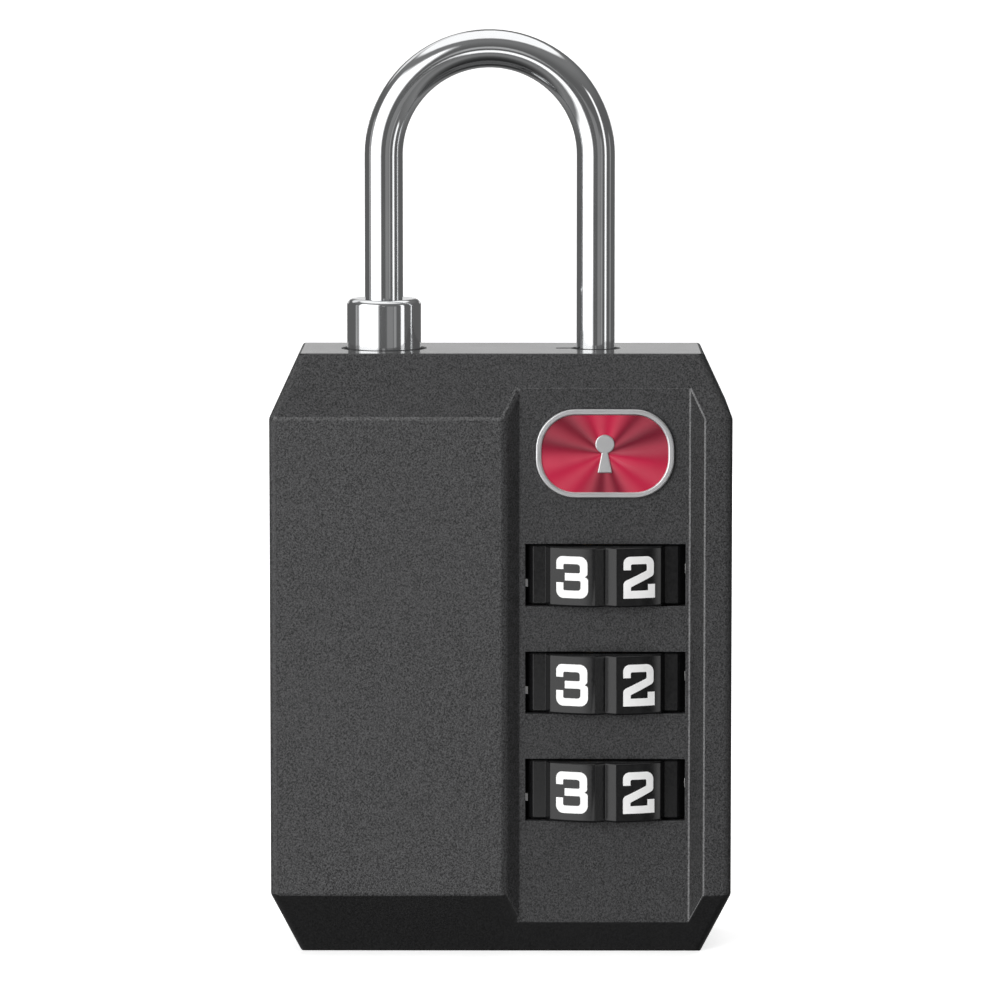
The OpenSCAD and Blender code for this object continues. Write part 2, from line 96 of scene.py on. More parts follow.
class Nodes:
    """A node tree with short calls for the nodes that the materials share."""

    def __init__(self, name):
        self.material = bpy.data.materials.new(name)
        self.material.use_nodes = True
        self.tree = self.material.node_tree
        self.shader = self.tree.nodes["Principled BSDF"]
        self.place = self.add("ShaderNodeTexCoord").outputs["Object"]

    def add(self, kind, **values):
        node = self.tree.nodes.new(kind)
        for key, value in values.items():
            setattr(node, key, value)
        return node

    def link(self, source, target):
        self.tree.links.new(source, target)

    def set(self, **values):
        """Sets sockets of the shader; an underscore in a name stands for a space."""
        for key, value in values.items():
            self.shader.inputs[key.replace("_", " ")].default_value = value

    def stretched(self, scale):
        """Object coordinates stretched by scale, so that a grain runs one way."""
        mapping = self.add("ShaderNodeMapping")
        mapping.inputs["Scale"].default_value = scale
        self.link(self.place, mapping.inputs["Vector"])
        return mapping.outputs["Vector"]

    def turned(self):
        """Object coordinates turned askew, so that no flat face lies along a noise's grid."""
        mapping = self.add("ShaderNodeMapping")
        mapping.inputs["Rotation"].default_value = GRAIN_TURN
        self.link(self.place, mapping.inputs["Vector"])
        return mapping.outputs["Vector"]

    def noise(self, scale, detail=2.0, place=None):
        node = self.add("ShaderNodeTexNoise")
        node.inputs["Scale"].default_value = scale
        node.inputs["Detail"].default_value = detail
        self.link(place or self.place, node.inputs["Vector"])
        return node.outputs["Fac"]

    def spread(self, value, low, high, start=0.3, end=0.7):
        """Maps start..end of a value to low..high."""
        node = self.add("ShaderNodeMapRange")
        node.inputs["From Min"].default_value = start
        node.inputs["From Max"].default_value = end
        node.inputs["To Min"].default_value = low
        node.inputs["To Max"].default_value = high
        self.link(value, node.inputs["Value"])
        return node.outputs["Result"]

    def math(self, operation, a, b):
        node = self.add("ShaderNodeMath", operation=operation)
        for socket, value in zip(node.inputs, (a, b)):
            if isinstance(value, (int, float)):
                socket.default_value = value
            else:
                self.link(value, socket)
        return node.outputs["Value"]

    def mix(self, factor, a, b):
        """Mixes two colours, each a tuple or a socket, by a factor that is a socket."""
        node = self.add("ShaderNodeMix", data_type="RGBA")
        self.link(factor, node.inputs["Factor"])
        for socket, value in ((node.inputs[6], a), (node.inputs[7], b)):
            if isinstance(value, tuple):
                socket.default_value = (*value, 1.0)
            else:
                self.link(value, socket)
        return node.outputs[2]

    def bump(self, height, strength, depth):
        node = self.add("ShaderNodeBump")
        node.inputs["Strength"].default_value = strength
        node.inputs["Distance"].default_value = depth
        self.link(height, node.inputs["Height"])
        return node.outputs["Normal"]

    def edges(self, radius, gain):
        """0 on flats, rising towards 1 on edges that are sharper than the radius."""
        soft = self.add("ShaderNodeBevel", samples=4)
        soft.inputs["Radius"].default_value = radius
        true = self.add("ShaderNodeNewGeometry")
        dot = self.add("ShaderNodeVectorMath", operation="DOT_PRODUCT")
        self.link(soft.outputs["Normal"], dot.inputs[0])
        self.link(true.outputs["Normal"], dot.inputs[1])
        return self.spread(dot.outputs["Value"], gain, 0.0, *EDGE_TURN)

    def finish(self, colour=None, roughness=None, normal=None):
        for value, name in ((colour, "Base Color"), (roughness, "Roughness"), (normal, "Normal")):
            if value is not None:
                self.link(value, self.shader.inputs[name])
        return self.material


# ---- materials ----

# Sizes of the case's sand grains and clouds, as noise scales
FINE_SAND, COARSE_SAND, CASE_CLOUD = 13500, 8500, 240


def case_paint(name, dark, light, rough=(0.42, 0.6), relief=0.9, coat=0.0, gloss=0.5):
    """Charcoal powder coat: a fine sand that is paler, bumpier and rougher on its grains."""
    n = Nodes(name)
    fine = n.noise(FINE_SAND, detail=1.0, place=n.turned())
    coarse = n.noise(COARSE_SAND, detail=0.0, place=n.turned())
    cloud = n.noise(CASE_CLOUD)
    sand = n.math("ADD", n.math("MULTIPLY", fine, 0.6), n.math("MULTIPLY", coarse, 0.4))
    tone = n.mix(n.spread(sand, 0, 1, 0.36, 0.64), dark, light)
    tone = n.mix(n.spread(cloud, 0.0, 0.12), tone, tuple(0.8 * c for c in light))
    shine = n.math("ADD", n.spread(sand, *rough, 0.4, 0.6), n.spread(cloud, -0.03, 0.03))
    n.set(IOR=1.5, Specular_IOR_Level=gloss, Coat_Weight=coat, Coat_Roughness=0.16)
    return n.finish(tone, shine, n.bump(sand, relief, 0.04 * MM))


def chrome(name, tint, low, high):
    """Bright plate with faint polishing lines along Z and cloudy patches."""
    n = Nodes(name)
    lines = n.noise(2600, place=n.stretched((1, 1, 0.05)))
    cloud = n.noise(320, detail=3.0)
    tone = n.mix(n.spread(cloud, 0, 1), tuple(0.93 * t for t in tint), tint)
    rough = n.math("ADD", n.spread(lines, low, high), n.spread(cloud, 0.0, 0.02))
    n.set(Metallic=1.0)
    return n.finish(tone, rough, n.bump(lines, 0.05, 0.004 * MM))


def dial_black():
    """Moulded black plastic with a satin skin and a fine moulded grain."""
    n = Nodes("dial_black")
    grain = n.noise(6500)
    cloud = n.noise(500)
    tone = n.mix(n.spread(grain, 0, 1), (0.0055, 0.0055, 0.006), (0.011, 0.011, 0.0115))
    wear = n.edges(0.1 * MM, 0.3)
    tone = n.mix(wear, tone, (0.04, 0.04, 0.042))
    rough = n.math("ADD", n.spread(grain, 0.13, 0.19), n.spread(cloud, -0.01, 0.03))
    n.set(IOR=1.5)
    return n.finish(tone, rough, n.bump(grain, 0.12, 0.01 * MM))


def number_white():
    """Uneven white paint of the numbers; a faint glow keeps it white away from the light."""
    n = Nodes("number_white")
    grain = n.noise(7000)
    cloud = n.noise(1100)
    tone = n.mix(n.spread(cloud, 0, 1), (0.86, 0.86, 0.855), (0.93, 0.93, 0.925))
    rough = n.spread(grain, 0.4, 0.55)
    n.set(Emission_Color=(1, 1, 1, 1), Emission_Strength=0.1)
    return n.finish(tone, rough, n.bump(grain, 0.15, 0.006 * MM))


FINE_RAYS, BROAD_RAYS = 12, 3


def enamel(centre):
    """Translucent-looking red enamel over a sunburst that was cut into the metal."""
    n = Nodes("badge_enamel")
    shift = n.add("ShaderNodeMapping", vector_type="TEXTURE")
    shift.inputs["Location"].default_value = centre
    shift.inputs["Rotation"].default_value = (math.radians(90), 0, 0)
    n.link(n.place, shift.inputs["Vector"])
    turn = n.add("ShaderNodeTexGradient", gradient_type="RADIAL")
    n.link(shift.outputs["Vector"], turn.inputs["Vector"])
    rays = n.math("SINE", n.math("MULTIPLY", turn.outputs["Fac"], 2 * math.pi * FINE_RAYS), 0)
    broad = n.math("SINE", n.math("MULTIPLY", turn.outputs["Fac"], 2 * math.pi * BROAD_RAYS), 0)
    pool = n.noise(420)
    tone = n.mix(n.spread(broad, 0, 1, -0.6, 0.6), (0.17, 0.004, 0.02), (0.58, 0.01, 0.06))
    tone = n.mix(n.spread(rays, 0.0, 0.35, -1, 1), tone, (0.75, 0.12, 0.17))
    tone = n.mix(n.spread(pool, 0.0, 0.3), tone, (0.3, 0.003, 0.02))
    n.set(Coat_Weight=1.0, Coat_Roughness=0.06, IOR=1.5)
    return n.finish(tone, n.spread(pool, 0.16, 0.26), n.bump(rays, 0.35, 0.03 * MM))


def turned_metal(name, dark, light, low, high):
    """Machined metal with streaks that run round Z, and cloudy tarnish."""
    n = Nodes(name)
    streaks = n.noise(420, detail=3.0, place=n.stretched((1, 1, 14)))
    cloud = n.noise(300, detail=3.0)
    tone = n.mix(n.spread(cloud, 0, 1), dark, light)
    tone = n.mix(n.edges(0.1 * MM, 0.4), tone, tuple(min(1.0, 1.15 * t) for t in light))
    rough = n.math("ADD", n.spread(streaks, low, high), n.spread(cloud, -0.03, 0.03))
    n.set(Metallic=1.0)
    return n.finish(tone, rough, n.bump(streaks, 0.12, 0.01 * MM))


BADGE_LOW, BADGE_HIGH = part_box("emblem_inlay")
BADGE_CENTRE = (BADGE_LOW + BADGE_HIGH) / 2

PAINT = case_paint("case_paint", (0.009, 0.009, 0.0094), (0.072, 0.072, 0.074))
# Painted light: a paler copy of the paint for the large flat front face left of the middle, where the
# light falls most
PAINTED_LIGHT_FRONT_PAINT = case_paint("case_paint_painted_light_front", (0.011, 0.011, 0.0115), (0.094, 0.094, 0.096))
# Painted shade: darker copies of the paint for the panel's two sloped borders, darkest on the one that
# faces left
SHADED_SLOPE_PAINT = case_paint("case_paint_shaded_slope", (0.004, 0.004, 0.0043), (0.063, 0.063, 0.065))
DEEP_SHADED_SLOPE_PAINT = case_paint("case_paint_deep_shaded_slope", (0.002, 0.002, 0.0021), (0.041, 0.041, 0.042))
SIDE_PAINT = case_paint(
    "case_paint_side", (0.009, 0.009, 0.0094), (0.075, 0.075, 0.077), (0.7, 0.9), gloss=0.1
)
# Painted highlight: paler, smoother paint on the roundings along both edges of the panel's right slope
SLOPE_EDGE_HIGHLIGHT_PAINT = case_paint("case_paint_slope_edge_highlight", (0.07, 0.07, 0.0715), (0.185, 0.185, 0.188), (0.3, 0.45))
# Painted highlight: paler paint on the roundings along the front's top edges
TOP_EDGE_HIGHLIGHT_PAINT = case_paint("case_paint_top_edge_highlight", (0.03, 0.03, 0.0305), (0.13, 0.13, 0.132))
# Painted shade: much darker, smoother paint on the downward faces of the case's foot
SHADED_FOOT_PAINT = case_paint(
    "case_paint_shaded_foot", (0.01, 0.01, 0.0103), (0.022, 0.022, 0.0225), (0.4, 0.5), relief=0.3
)
# Painted light: a paler, coated copy of the paint for the flat top, standing in for the light that it
# reflects
PAINTED_LIGHT_TOP_PAINT = case_paint(
    "case_paint_painted_light_top", (0.03, 0.03, 0.0305), (0.07, 0.07, 0.0715), (0.3, 0.36), relief=0.2, coat=0.8
)
CHROME = chrome("shackle_chrome", (0.86, 0.87, 0.88), 0.05, 0.1)
BADGE_METAL = chrome("badge_chrome", (0.93, 0.93, 0.94), 0.34, 0.44)
BLACK = dial_black()
WHITE = number_white()
RED = enamel(BADGE_CENTRE)
BRASS = turned_metal("brass", (0.58, 0.4, 0.16), (0.74, 0.55, 0.26), 0.2, 0.34)
STEEL = turned_metal("steel", (0.42, 0.43, 0.44), (0.6, 0.61, 0.62), 0.22, 0.36)
SLOT_MATERIALS = {
    "case_paint": PAINT, "shackle_chrome": CHROME, "badge_chrome": BADGE_METAL, "badge_enamel": RED,
    "dial_black": BLACK, "number_white": WHITE, "brass": BRASS, "steel": STEEL,
}
NODE_SLOTS = {row["node"]: row["material_slot"] for row in frame["record"]["subparts"]}


def paint_cad_nodes():
    for name, node in NODES.items():
        node.data.materials.clear()
        node.data.materials.append(SLOT_MATERIALS[NODE_SLOTS[name]])


# ---- rounded copies of CAD nodes ----

def new_piece(name, mesh, slot, body):
    piece = bpy.data.objects.new(name, mesh)
    bpy.context.scene.collection.objects.link(piece)
    mesh.materials.clear()
    mesh.materials.append(SLOT_MATERIALS[slot])
    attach(piece, body)
    return piece


def clean_copy(node):
    """The node's mesh with doubled corners merged and flat areas joined."""
    bm = bmesh.new()
    bm.from_mesh(NODES[node].data)
    bmesh.ops.remove_doubles(bm, verts=bm.verts, dist=MERGE)
    bmesh.ops.dissolve_limit(
        bm, angle_limit=FLAT_ANGLE, verts=bm.verts, edges=bm.edges, use_dissolve_boundaries=False
    )
    bm.normal_update()
    return bm


def even_shading(piece):
    """Flat faces keep their own normals, so that only the roundings shade smoothly."""
    soft = piece.modifiers.new("shade", "WEIGHTED_NORMAL")
    soft.keep_sharp = True
    soft.weight = FACE_SHARE


def rounded_node(node, name, width, size_of, paint=None):
    """Replaces a node by a copy with rounded edges, size_of(edge) up to width, then paints it.

    paint(mesh) is called after the rounding; the faces that the rounding made have material
    index 1 by then.
    """
    bm = clean_copy(node)
    layer = bm.edges.layers.float.new("bevel_weight_edge")
    for edge in bm.edges:
        if edge.is_manifold and abs(edge.calc_face_angle(0)) > SHARP_ANGLE:
            size = size_of(edge)
            edge[layer] = size / width
            edge.smooth = size > 0
    for face in bm.faces:
        face.smooth = True
    mesh = bpy.data.meshes.new(name)
    bm.to_mesh(mesh)
    bm.free()
    piece = new_piece(name, mesh, NODE_SLOTS[node], NODES[node]["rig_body"])
    bevel = piece.modifiers.new("round", "BEVEL")
    bevel.width = width
    bevel.segments = ROUND_SEGMENTS
    bevel.limit_method = "WEIGHT"
    bevel.use_clamp_overlap = False
    if paint:
        mesh.materials.append(mesh.materials[0])
        bevel.material = 1
        graph = bpy.context.evaluated_depsgraph_get()
        piece.data = bpy.data.meshes.new_from_object(piece.evaluated_get(graph), depsgraph=graph)
        piece.data.name = name
        piece.modifiers.clear()
        paint(piece.data)
    even_shading(piece)
    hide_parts(node)


def on_front(face):
    """True for the panel's flat and its two sloped borders."""
    n, c = face.normal, face.calc_center_median()
    return n.y < -0.5 and abs(n.z) < 0.1 and LOW.y + NEAR < c.y < PANEL_Y + NEAR


def outer_face(face):
    """True for the faces of the case that show from outside."""
    n, c = face.normal, face.calc_center_median()
    if abs(abs(c.x) - HALF_W) < NEAR or c.z < NEAR or c.z > CASE_H - NEAR:
        return True
    if abs(abs(c.y) - HALF_T) < NEAR or on_front(face):
        return True
    return 0.1 < abs(n.z) < 0.9 and (c.z < END_H or c.z > CASE_H - END_H)


CORNER_ROUND = 0.5 * MM
EDGE_ROUND = 0.12 * MM
PANEL_ROUND = 0.07 * MM
PANEL_LEFT_ROUND = 0.28 * MM
BACK_ROUND = 0.12 * MM
RIM_ROUND = 0.06 * MM


def case_round(edge):
    """Upright front corners are rounded most, the panel and the mouths of holes least."""
    faces = edge.link_faces
    outer = [outer_face(face) for face in faces]
    if not all(outer):
        return RIM_ROUND if any(outer) else 0.0
    ends = [v.co for v in edge.verts]
    if any(on_front(face) for face in faces):
        left = edge.is_convex and max(end.x for end in ends) < PANEL_LEFT_X
        return PANEL_LEFT_ROUND if left else PANEL_ROUND
    if max(end.y for end in ends) > 0:
        return BACK_ROUND
    upright = abs((ends[1] - ends[0]).normalized().z) > 0.7
    if upright and max(abs(end.x) for end in ends) > HALF_W - NEAR:
        return CORNER_ROUND
    return EDGE_ROUND


def cover_round(edge):
    """Only the rim that shows round the back cover is rounded."""
    return BACK_ROUND if min(v.co.y for v in edge.verts) > HALF_T - COVER_LIP else 0.0


# Edges with a painted highlight of paler, smoother paint: both sides of the panel's right slope
SLOPE_EDGE_HIGHLIGHT_X = (12.0 * MM, 13.5 * MM)
# Edges with a fainter painted highlight: the top of the front, this far below the case's top
TOP_EDGE_HIGHLIGHT_DROP = (0.5 * MM, END_H + 0.3 * MM)
# Downward faces below this height get the painted shade of the foot
SHADED_FOOT_TOP = END_H + 0.2 * MM
CASE_PAINTS = (
    PAINT, PAINTED_LIGHT_FRONT_PAINT, SHADED_SLOPE_PAINT, DEEP_SHADED_SLOPE_PAINT, SLOPE_EDGE_HIGHLIGHT_PAINT, TOP_EDGE_HIGHLIGHT_PAINT, SHADED_FOOT_PAINT, PAINTED_LIGHT_TOP_PAINT,
    SIDE_PAINT,
)
PLAIN, PAINTED_LIGHT_FRONT, SHADED_SLOPE, DEEP_SHADED_SLOPE, SLOPE_EDGE_HIGHLIGHT, TOP_EDGE_HIGHLIGHT, SHADED_FOOT, PAINTED_LIGHT_TOP, SIDE = range(len(CASE_PAINTS))


def paint_kind(centre, normal, on_edge):
    """The paint of one face: painted highlights at the panel's right edges and the front's top edges,
    painted shade at the foot and on the panel's slopes, painted light on the top and the left front
    face.
    """
    # painted shade on downward faces near the bottom
    if centre.z < SHADED_FOOT_TOP and normal.z < -0.25:
        return SHADED_FOOT
    # painted light on the flat top
    if centre.z > CASE_H - NEAR and normal.z > 0.9:
        return PAINTED_LIGHT_TOP
    if abs(normal.x) > 0.6 and normal.z > 0.2:
        return SIDE
    if normal.y > -0.3 or centre.y > PANEL_Y + NEAR:
        return PLAIN
    if on_edge:
        # painted highlight on the roundings at both edges of the panel's right slope
        if SLOPE_EDGE_HIGHLIGHT_X[0] < centre.x < SLOPE_EDGE_HIGHLIGHT_X[1]:
            return SLOPE_EDGE_HIGHLIGHT
        # painted highlight on the roundings along the front's top edges
        high = TOP_EDGE_HIGHLIGHT_DROP[0] < CASE_H - centre.z < TOP_EDGE_HIGHLIGHT_DROP[1]
        return TOP_EDGE_HIGHLIGHT if high and abs(normal.x) < 0.3 and centre.x < SLOPE_EDGE_HIGHLIGHT_X[1] else PLAIN
    # painted light: the large flat front face left of the middle gets the paler paint
    if normal.y < -0.99 and centre.y < LOW.y + NEAR and centre.x < 0:
        return PAINTED_LIGHT_FRONT
    # painted shade on the panel's sloped borders
    if abs(normal.x) > 0.5 and abs(normal.z) < 0.1:
        return SHADED_SLOPE if normal.x > 0 else DEEP_SHADED_SLOPE
    return PLAIN


def paint_case(mesh):
    on_edge = [face.material_index == 1 for face in mesh.polygons]
    mesh.materials.clear()
    for material in CASE_PAINTS:
        mesh.materials.append(material)
    for face, edge in zip(mesh.polygons, on_edge):
        face.material_index = paint_kind(face.center, face.normal, edge)


def build_case():
    rounded_node("body_shell", "case_shell", CORNER_ROUND, case_round, paint=paint_case)
    rounded_node("back_cover", "case_back_cover", BACK_ROUND, cover_round, paint=paint_case)


# ---- dials and their numbers ----

NUMBER_W, NUMBER_H = 2.16 * MM, 2.72 * MM
STROKE = 0.228      # width of an upright stroke, as a share of a number's width
BAR = 0.182         # height of a level stroke, as a share of a number's height
ROUND = 0.5 * MM
SOFT = 0.1 * MM
S, T, R, Q = STROKE, BAR, ROUND, SOFT
# Each outline is a list of corners: across, up, radius. The first outline is solid, others are
# holes.
GLYPHS = {
    0: [[(0, 0, R), (1, 0, R), (1, 1, R), (0, 1, R)],
        [(S, T, Q), (1 - S, T, Q), (1 - S, 1 - T, Q), (S, 1 - T, Q)]],
    1: [[(.44, 0, 0), (.44 + S, 0, 0), (.44 + S, 1, 0), (.46, 1, 0), (.1, .74, 0), (.1, .52, 0),
         (.44, .73, 0)]],
    2: [[(0, 0, 0), (1, 0, 0), (1, .33, 0), (1 - S, .33, 0), (1 - S, T, 0), (S, T, 0), (S, .27, Q),
         (.96, .54, .3 * MM), (.96, 1, R), (0, 1, R), (0, .68, 0), (S, .68, 0), (S, 1 - T, Q),
         (.96 - S, 1 - T, Q), (.96 - S, .66, Q), (0, .4, .3 * MM)]],
    3: [[(0, 0, R), (1, 0, R), (1, .47, .3 * MM), (.9, .51, 0), (.98, .56, .2 * MM), (.98, 1, R),
         (0, 1, R), (0, .69, 0), (S, .69, 0), (S, 1 - T, Q), (.98 - S, 1 - T, 2 * Q),
         (.98 - S, .6, Q), (.28, .6, 0), (.28, .42, 0), (1 - S, .42, Q), (1 - S, T, 2 * Q),
         (S, T, Q), (S, .37, 0), (0, .37, 0)]],
    4: [[(.56, 0, 0), (.56 + S, 0, 0), (.56 + S, .2, 0), (1, .2, 0), (1, .38, 0), (.56 + S, .38, 0),
         (.56 + S, 1, 0), (.46, 1, 0), (0, .4, Q), (0, .2, 0), (.56, .2, 0)],
        [(.26, .38, 0), (.56, .38, 0), (.56, .78, 0)]],
    5: [[(0, 0, R), (1, 0, R), (1, .63, R), (S, .63, 0), (S, 1 - T, 0), (.95, 1 - T, 0), (.95, 1, 0),
         (0, 1, 0), (0, .44, 0), (1 - S, .44, 2 * Q), (1 - S, T, 2 * Q), (S, T, Q), (S, .3, 0),
         (0, .3, 0)]],
    6: [[(0, 0, R), (1, 0, R), (1, .62, R), (S, .62, 0), (S, 1 - T, Q), (1 - S, 1 - T, Q),
         (1 - S, .74, 0), (1, .74, 0), (1, 1, R), (0, 1, R)],
        [(S, T, Q), (1 - S, T, Q), (1 - S, .43, Q), (S, .43, Q)]],
    7: [[(.2, 0, 0), (.5, 0, 0), (1, .76, Q), (1, 1, 0), (0, 1, 0), (0, .7, 0), (S, .7, 0),
         (S, 1 - T, 0), (.72, 1 - T, Q)]],
    8: [[(0, 0, R), (1, 0, R), (1, .46, .3 * MM), (.9, .51, 0), (.97, .56, .2 * MM), (.97, 1, R),
         (.03, 1, R), (.03, .56, .2 * MM), (.1, .51, 0), (0, .46, .3 * MM)],
        [(S, T, Q), (1 - S, T, Q), (1 - S, .42, Q), (S, .42, Q)],
        [(S + .03, .6, Q), (.97 - S, .6, Q), (.97 - S, 1 - T, Q), (S + .03, 1 - T, Q)]],
}
GLYPHS[9] = [[(1 - x, 1 - y, r) for x, y, r in outline] for outline in GLYPHS[6]]

DIGITS = 10
DIAL_STEP = 360 / DIGITS
NUMBER_SINK = 0.04 * MM
NUMBER_PROUD = 0.012 * MM
SLICE = 0.2 * MM    # width of the upright slices that a number is bent by
ARC_REACH = 0.48    # a corner's arc takes up to this share of each side


def round_corner(before, corner, after, radius, steps=5):
    """Points of an arc that replaces a corner, or the corner itself where the radius is 0."""
    if radius <= 0:
        return [corner]
    a, b = (before - corner), (after - corner)
    half = a.angle(b) / 2
    reach = min(radius / math.tan(half), ARC_REACH * a.length, ARC_REACH * b.length)
    radius = reach * math.tan(half)
    start, end = corner + a.normalized() * reach, corner + b.normalized() * reach
    centre = corner + (a.normalized() + b.normalized()).normalized() * (radius / math.sin(half))
    points = []
    for i in range(steps + 1):
        p = start.lerp(end, i / steps) - centre
        points.append(centre + p.normalized() * radius)
    return points


def outline_points(outline):
    corners = [Vector((x * NUMBER_W, y * NUMBER_H, 0)) for x, y, _ in outline]
    points = []
    for i, (_, _, radius) in enumerate(outline):
        points += round_corner(corners[i - 1], corners[i], corners[(i + 1) % len(corners)], radius)
    return points


def flat_number(digit):
    """A bmesh of the number, lying in X and Y about its own centre, with a small thickness in Z."""
    curve = bpy.data.curves.new("number", "CURVE")
    curve.dimensions = "2D"
    curve.fill_mode = "BOTH"
    curve.extrude = (NUMBER_SINK + NUMBER_PROUD) / 2
    for outline in GLYPHS[digit]:
        points = outline_points(outline)
        spline = curve.splines.new("POLY")
        spline.points.add(len(points) - 1)
        spline.use_cyclic_u = True
        for target, p in zip(spline.points, points):
            target.co = (p.x - NUMBER_W / 2, p.y - NUMBER_H / 2, 0, 1)
    holder = bpy.data.objects.new("number", curve)
    bpy.context.scene.collection.objects.link(holder)
    bpy.context.view_layer.update()
    bm = bmesh.new()
    bm.from_mesh(holder.to_mesh())
    holder.to_mesh_clear()
    bpy.data.objects.remove(holder)
    bpy.data.curves.remove(curve)
    bmesh.ops.remove_doubles(bm, verts=bm.verts, dist=MERGE)
    return bm


def sliced(bm, width, step):
    """Cuts a flat mesh into upright slices, so that it can be bent."""
    for i in range(1, int(width / step)):
        bmesh.ops.bisect_plane(
            bm, geom=bm.verts[:] + bm.edges[:] + bm.faces[:], dist=1e-8,
            plane_co=(i * step - width / 2, 0, 0), plane_no=(1, 0, 0)
        )


def build_numbers(node):
    """The ten white numbers of a dial, bent round it, as one piece."""
    low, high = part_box(node)
    centre = (low + high) / 2
    radius = (high.x - low.x) / 2
    whole = bmesh.new()
    for digit in range(DIGITS):
        bm = flat_number(digit)
        sliced(bm, NUMBER_W, SLICE)
        middle = math.radians(-DIAL_STEP * digit)
        for v in bm.verts:
            angle = middle + v.co.x / radius
            r = radius + (NUMBER_PROUD if v.co.z > 0 else -NUMBER_SINK)
            v.co = Vector((
                centre.x + r * math.cos(angle), centre.y + r * math.sin(angle), centre.z + v.co.y
            ))
        part = bpy.data.meshes.new("number")
        bm.to_mesh(part)
        bm.free()
        whole.from_mesh(part)
        bpy.data.meshes.remove(part)
    bmesh.ops.recalc_face_normals(whole, faces=whole.faces)
    mesh = bpy.data.meshes.new(node + "_numbers")
    whole.to_mesh(mesh)
    whole.free()
    new_piece(node + "_numbers", mesh, "number_white", node)


# The dials' own shape, which the CAD's notches and bore set
NOTCH_DEPTH = 0.5 * MM
NOTCH_HALF_ANGLE = math.radians(5.5)
DIAL_BORE = 3.05 * MM
KEY_REACH = 3.6 * MM
KEY_HALF_ANGLE = math.radians(6.5)
LIP_ROUND = 0.09 * MM
DIAL_RIM = 0.16 * MM
RIM_STEPS = 4
FACET_STEPS = 12
LIP_STEPS = 4
SHADE_ANGLE = math.radians(32)
FIRST_NOTCH = math.radians(-90)


def dial_outline(radius):
    """Points round a dial: ten facets of the cylinder with a round-lipped V between each two."""
    corners = []
    pitch = math.radians(DIAL_STEP)
    for k in range(DIGITS):
        middle = FIRST_NOTCH + k * pitch
        lip_left, lip_right = middle - NOTCH_HALF_ANGLE, middle + NOTCH_HALF_ANGLE
        corners.append((radius, lip_left, LIP_ROUND))
        corners.append((radius - NOTCH_DEPTH, middle, LIP_ROUND / 2))
        corners.append((radius, lip_right, LIP_ROUND))
        span = pitch - 2 * NOTCH_HALF_ANGLE
        for i in range(1, FACET_STEPS):
            corners.append((radius, lip_right + span * i / FACET_STEPS, 0))
    places = [Vector((r * math.cos(a), r * math.sin(a), 0)) for r, a, _ in corners]
    points = []
    for i, (_, _, soft) in enumerate(corners):
        following = places[(i + 1) % len(places)]
        points += round_corner(places[i - 1], places[i], following, soft, LIP_STEPS)
    return points


def bore_point(point, z):
    """The point of the keyed bore that lies on the same ray as an outer point."""
    angle = math.atan2(point.y, point.x)
    pitch = math.radians(DIAL_STEP)
    off = abs(angle - pitch * round(angle / pitch))
    reach = KEY_REACH if off < KEY_HALF_ANGLE else DIAL_BORE
    return Vector((reach * math.cos(angle), reach * math.sin(angle), z))


def build_dial(node):
    """A dial with rounded rims and notches, and the white numbers on its facets."""
    low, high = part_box(node)
    centre, radius, half = (low + high) / 2, (high.x - low.x) / 2, (high.z - low.z) / 2
    outline = dial_outline(radius)
    rings = []
    for side in (-1, 1):
        steps = [i / RIM_STEPS * math.pi / 2 for i in range(RIM_STEPS + 1)]
        for turn in steps if side < 0 else reversed(steps):
            share = 1 - DIAL_RIM * (1 - math.sin(turn)) / radius
            z = side * (half - DIAL_RIM * (1 - math.cos(turn)))
            rings.append([Vector((p.x * share, p.y * share, z)) for p in outline])
    for z in (half, -half):
        rings.append([bore_point(p, z) for p in outline])
    bm = bmesh.new()
    verts = [[bm.verts.new(centre + p) for p in ring] for ring in rings]
    for ring, following in zip(verts, verts[1:] + verts[:1]):
        for i in range(len(outline)):
            j = (i + 1) % len(outline)
            bm.faces.new((ring[i], ring[j], following[j], following[i]))
    bm.normal_update()
    for face in bm.faces:
        face.smooth = True
    for edge in bm.edges:
        edge.smooth = edge.calc_face_angle(0) < SHADE_ANGLE
    mesh = bpy.data.meshes.new(node + "_body")
    bm.to_mesh(mesh)
    bm.free()
    piece = new_piece(node + "_body", mesh, "dial_black", node)
    even_shading(piece)
    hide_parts(node)
    build_numbers(node)


# ---- badge ----

BADGE_ROUND = 0.12 * MM
KEYHOLE_ROUND = 0.06 * MM
KEYHOLE_SINK = 0.1 * MM
KEYHOLE_PROUD = 0.12 * MM


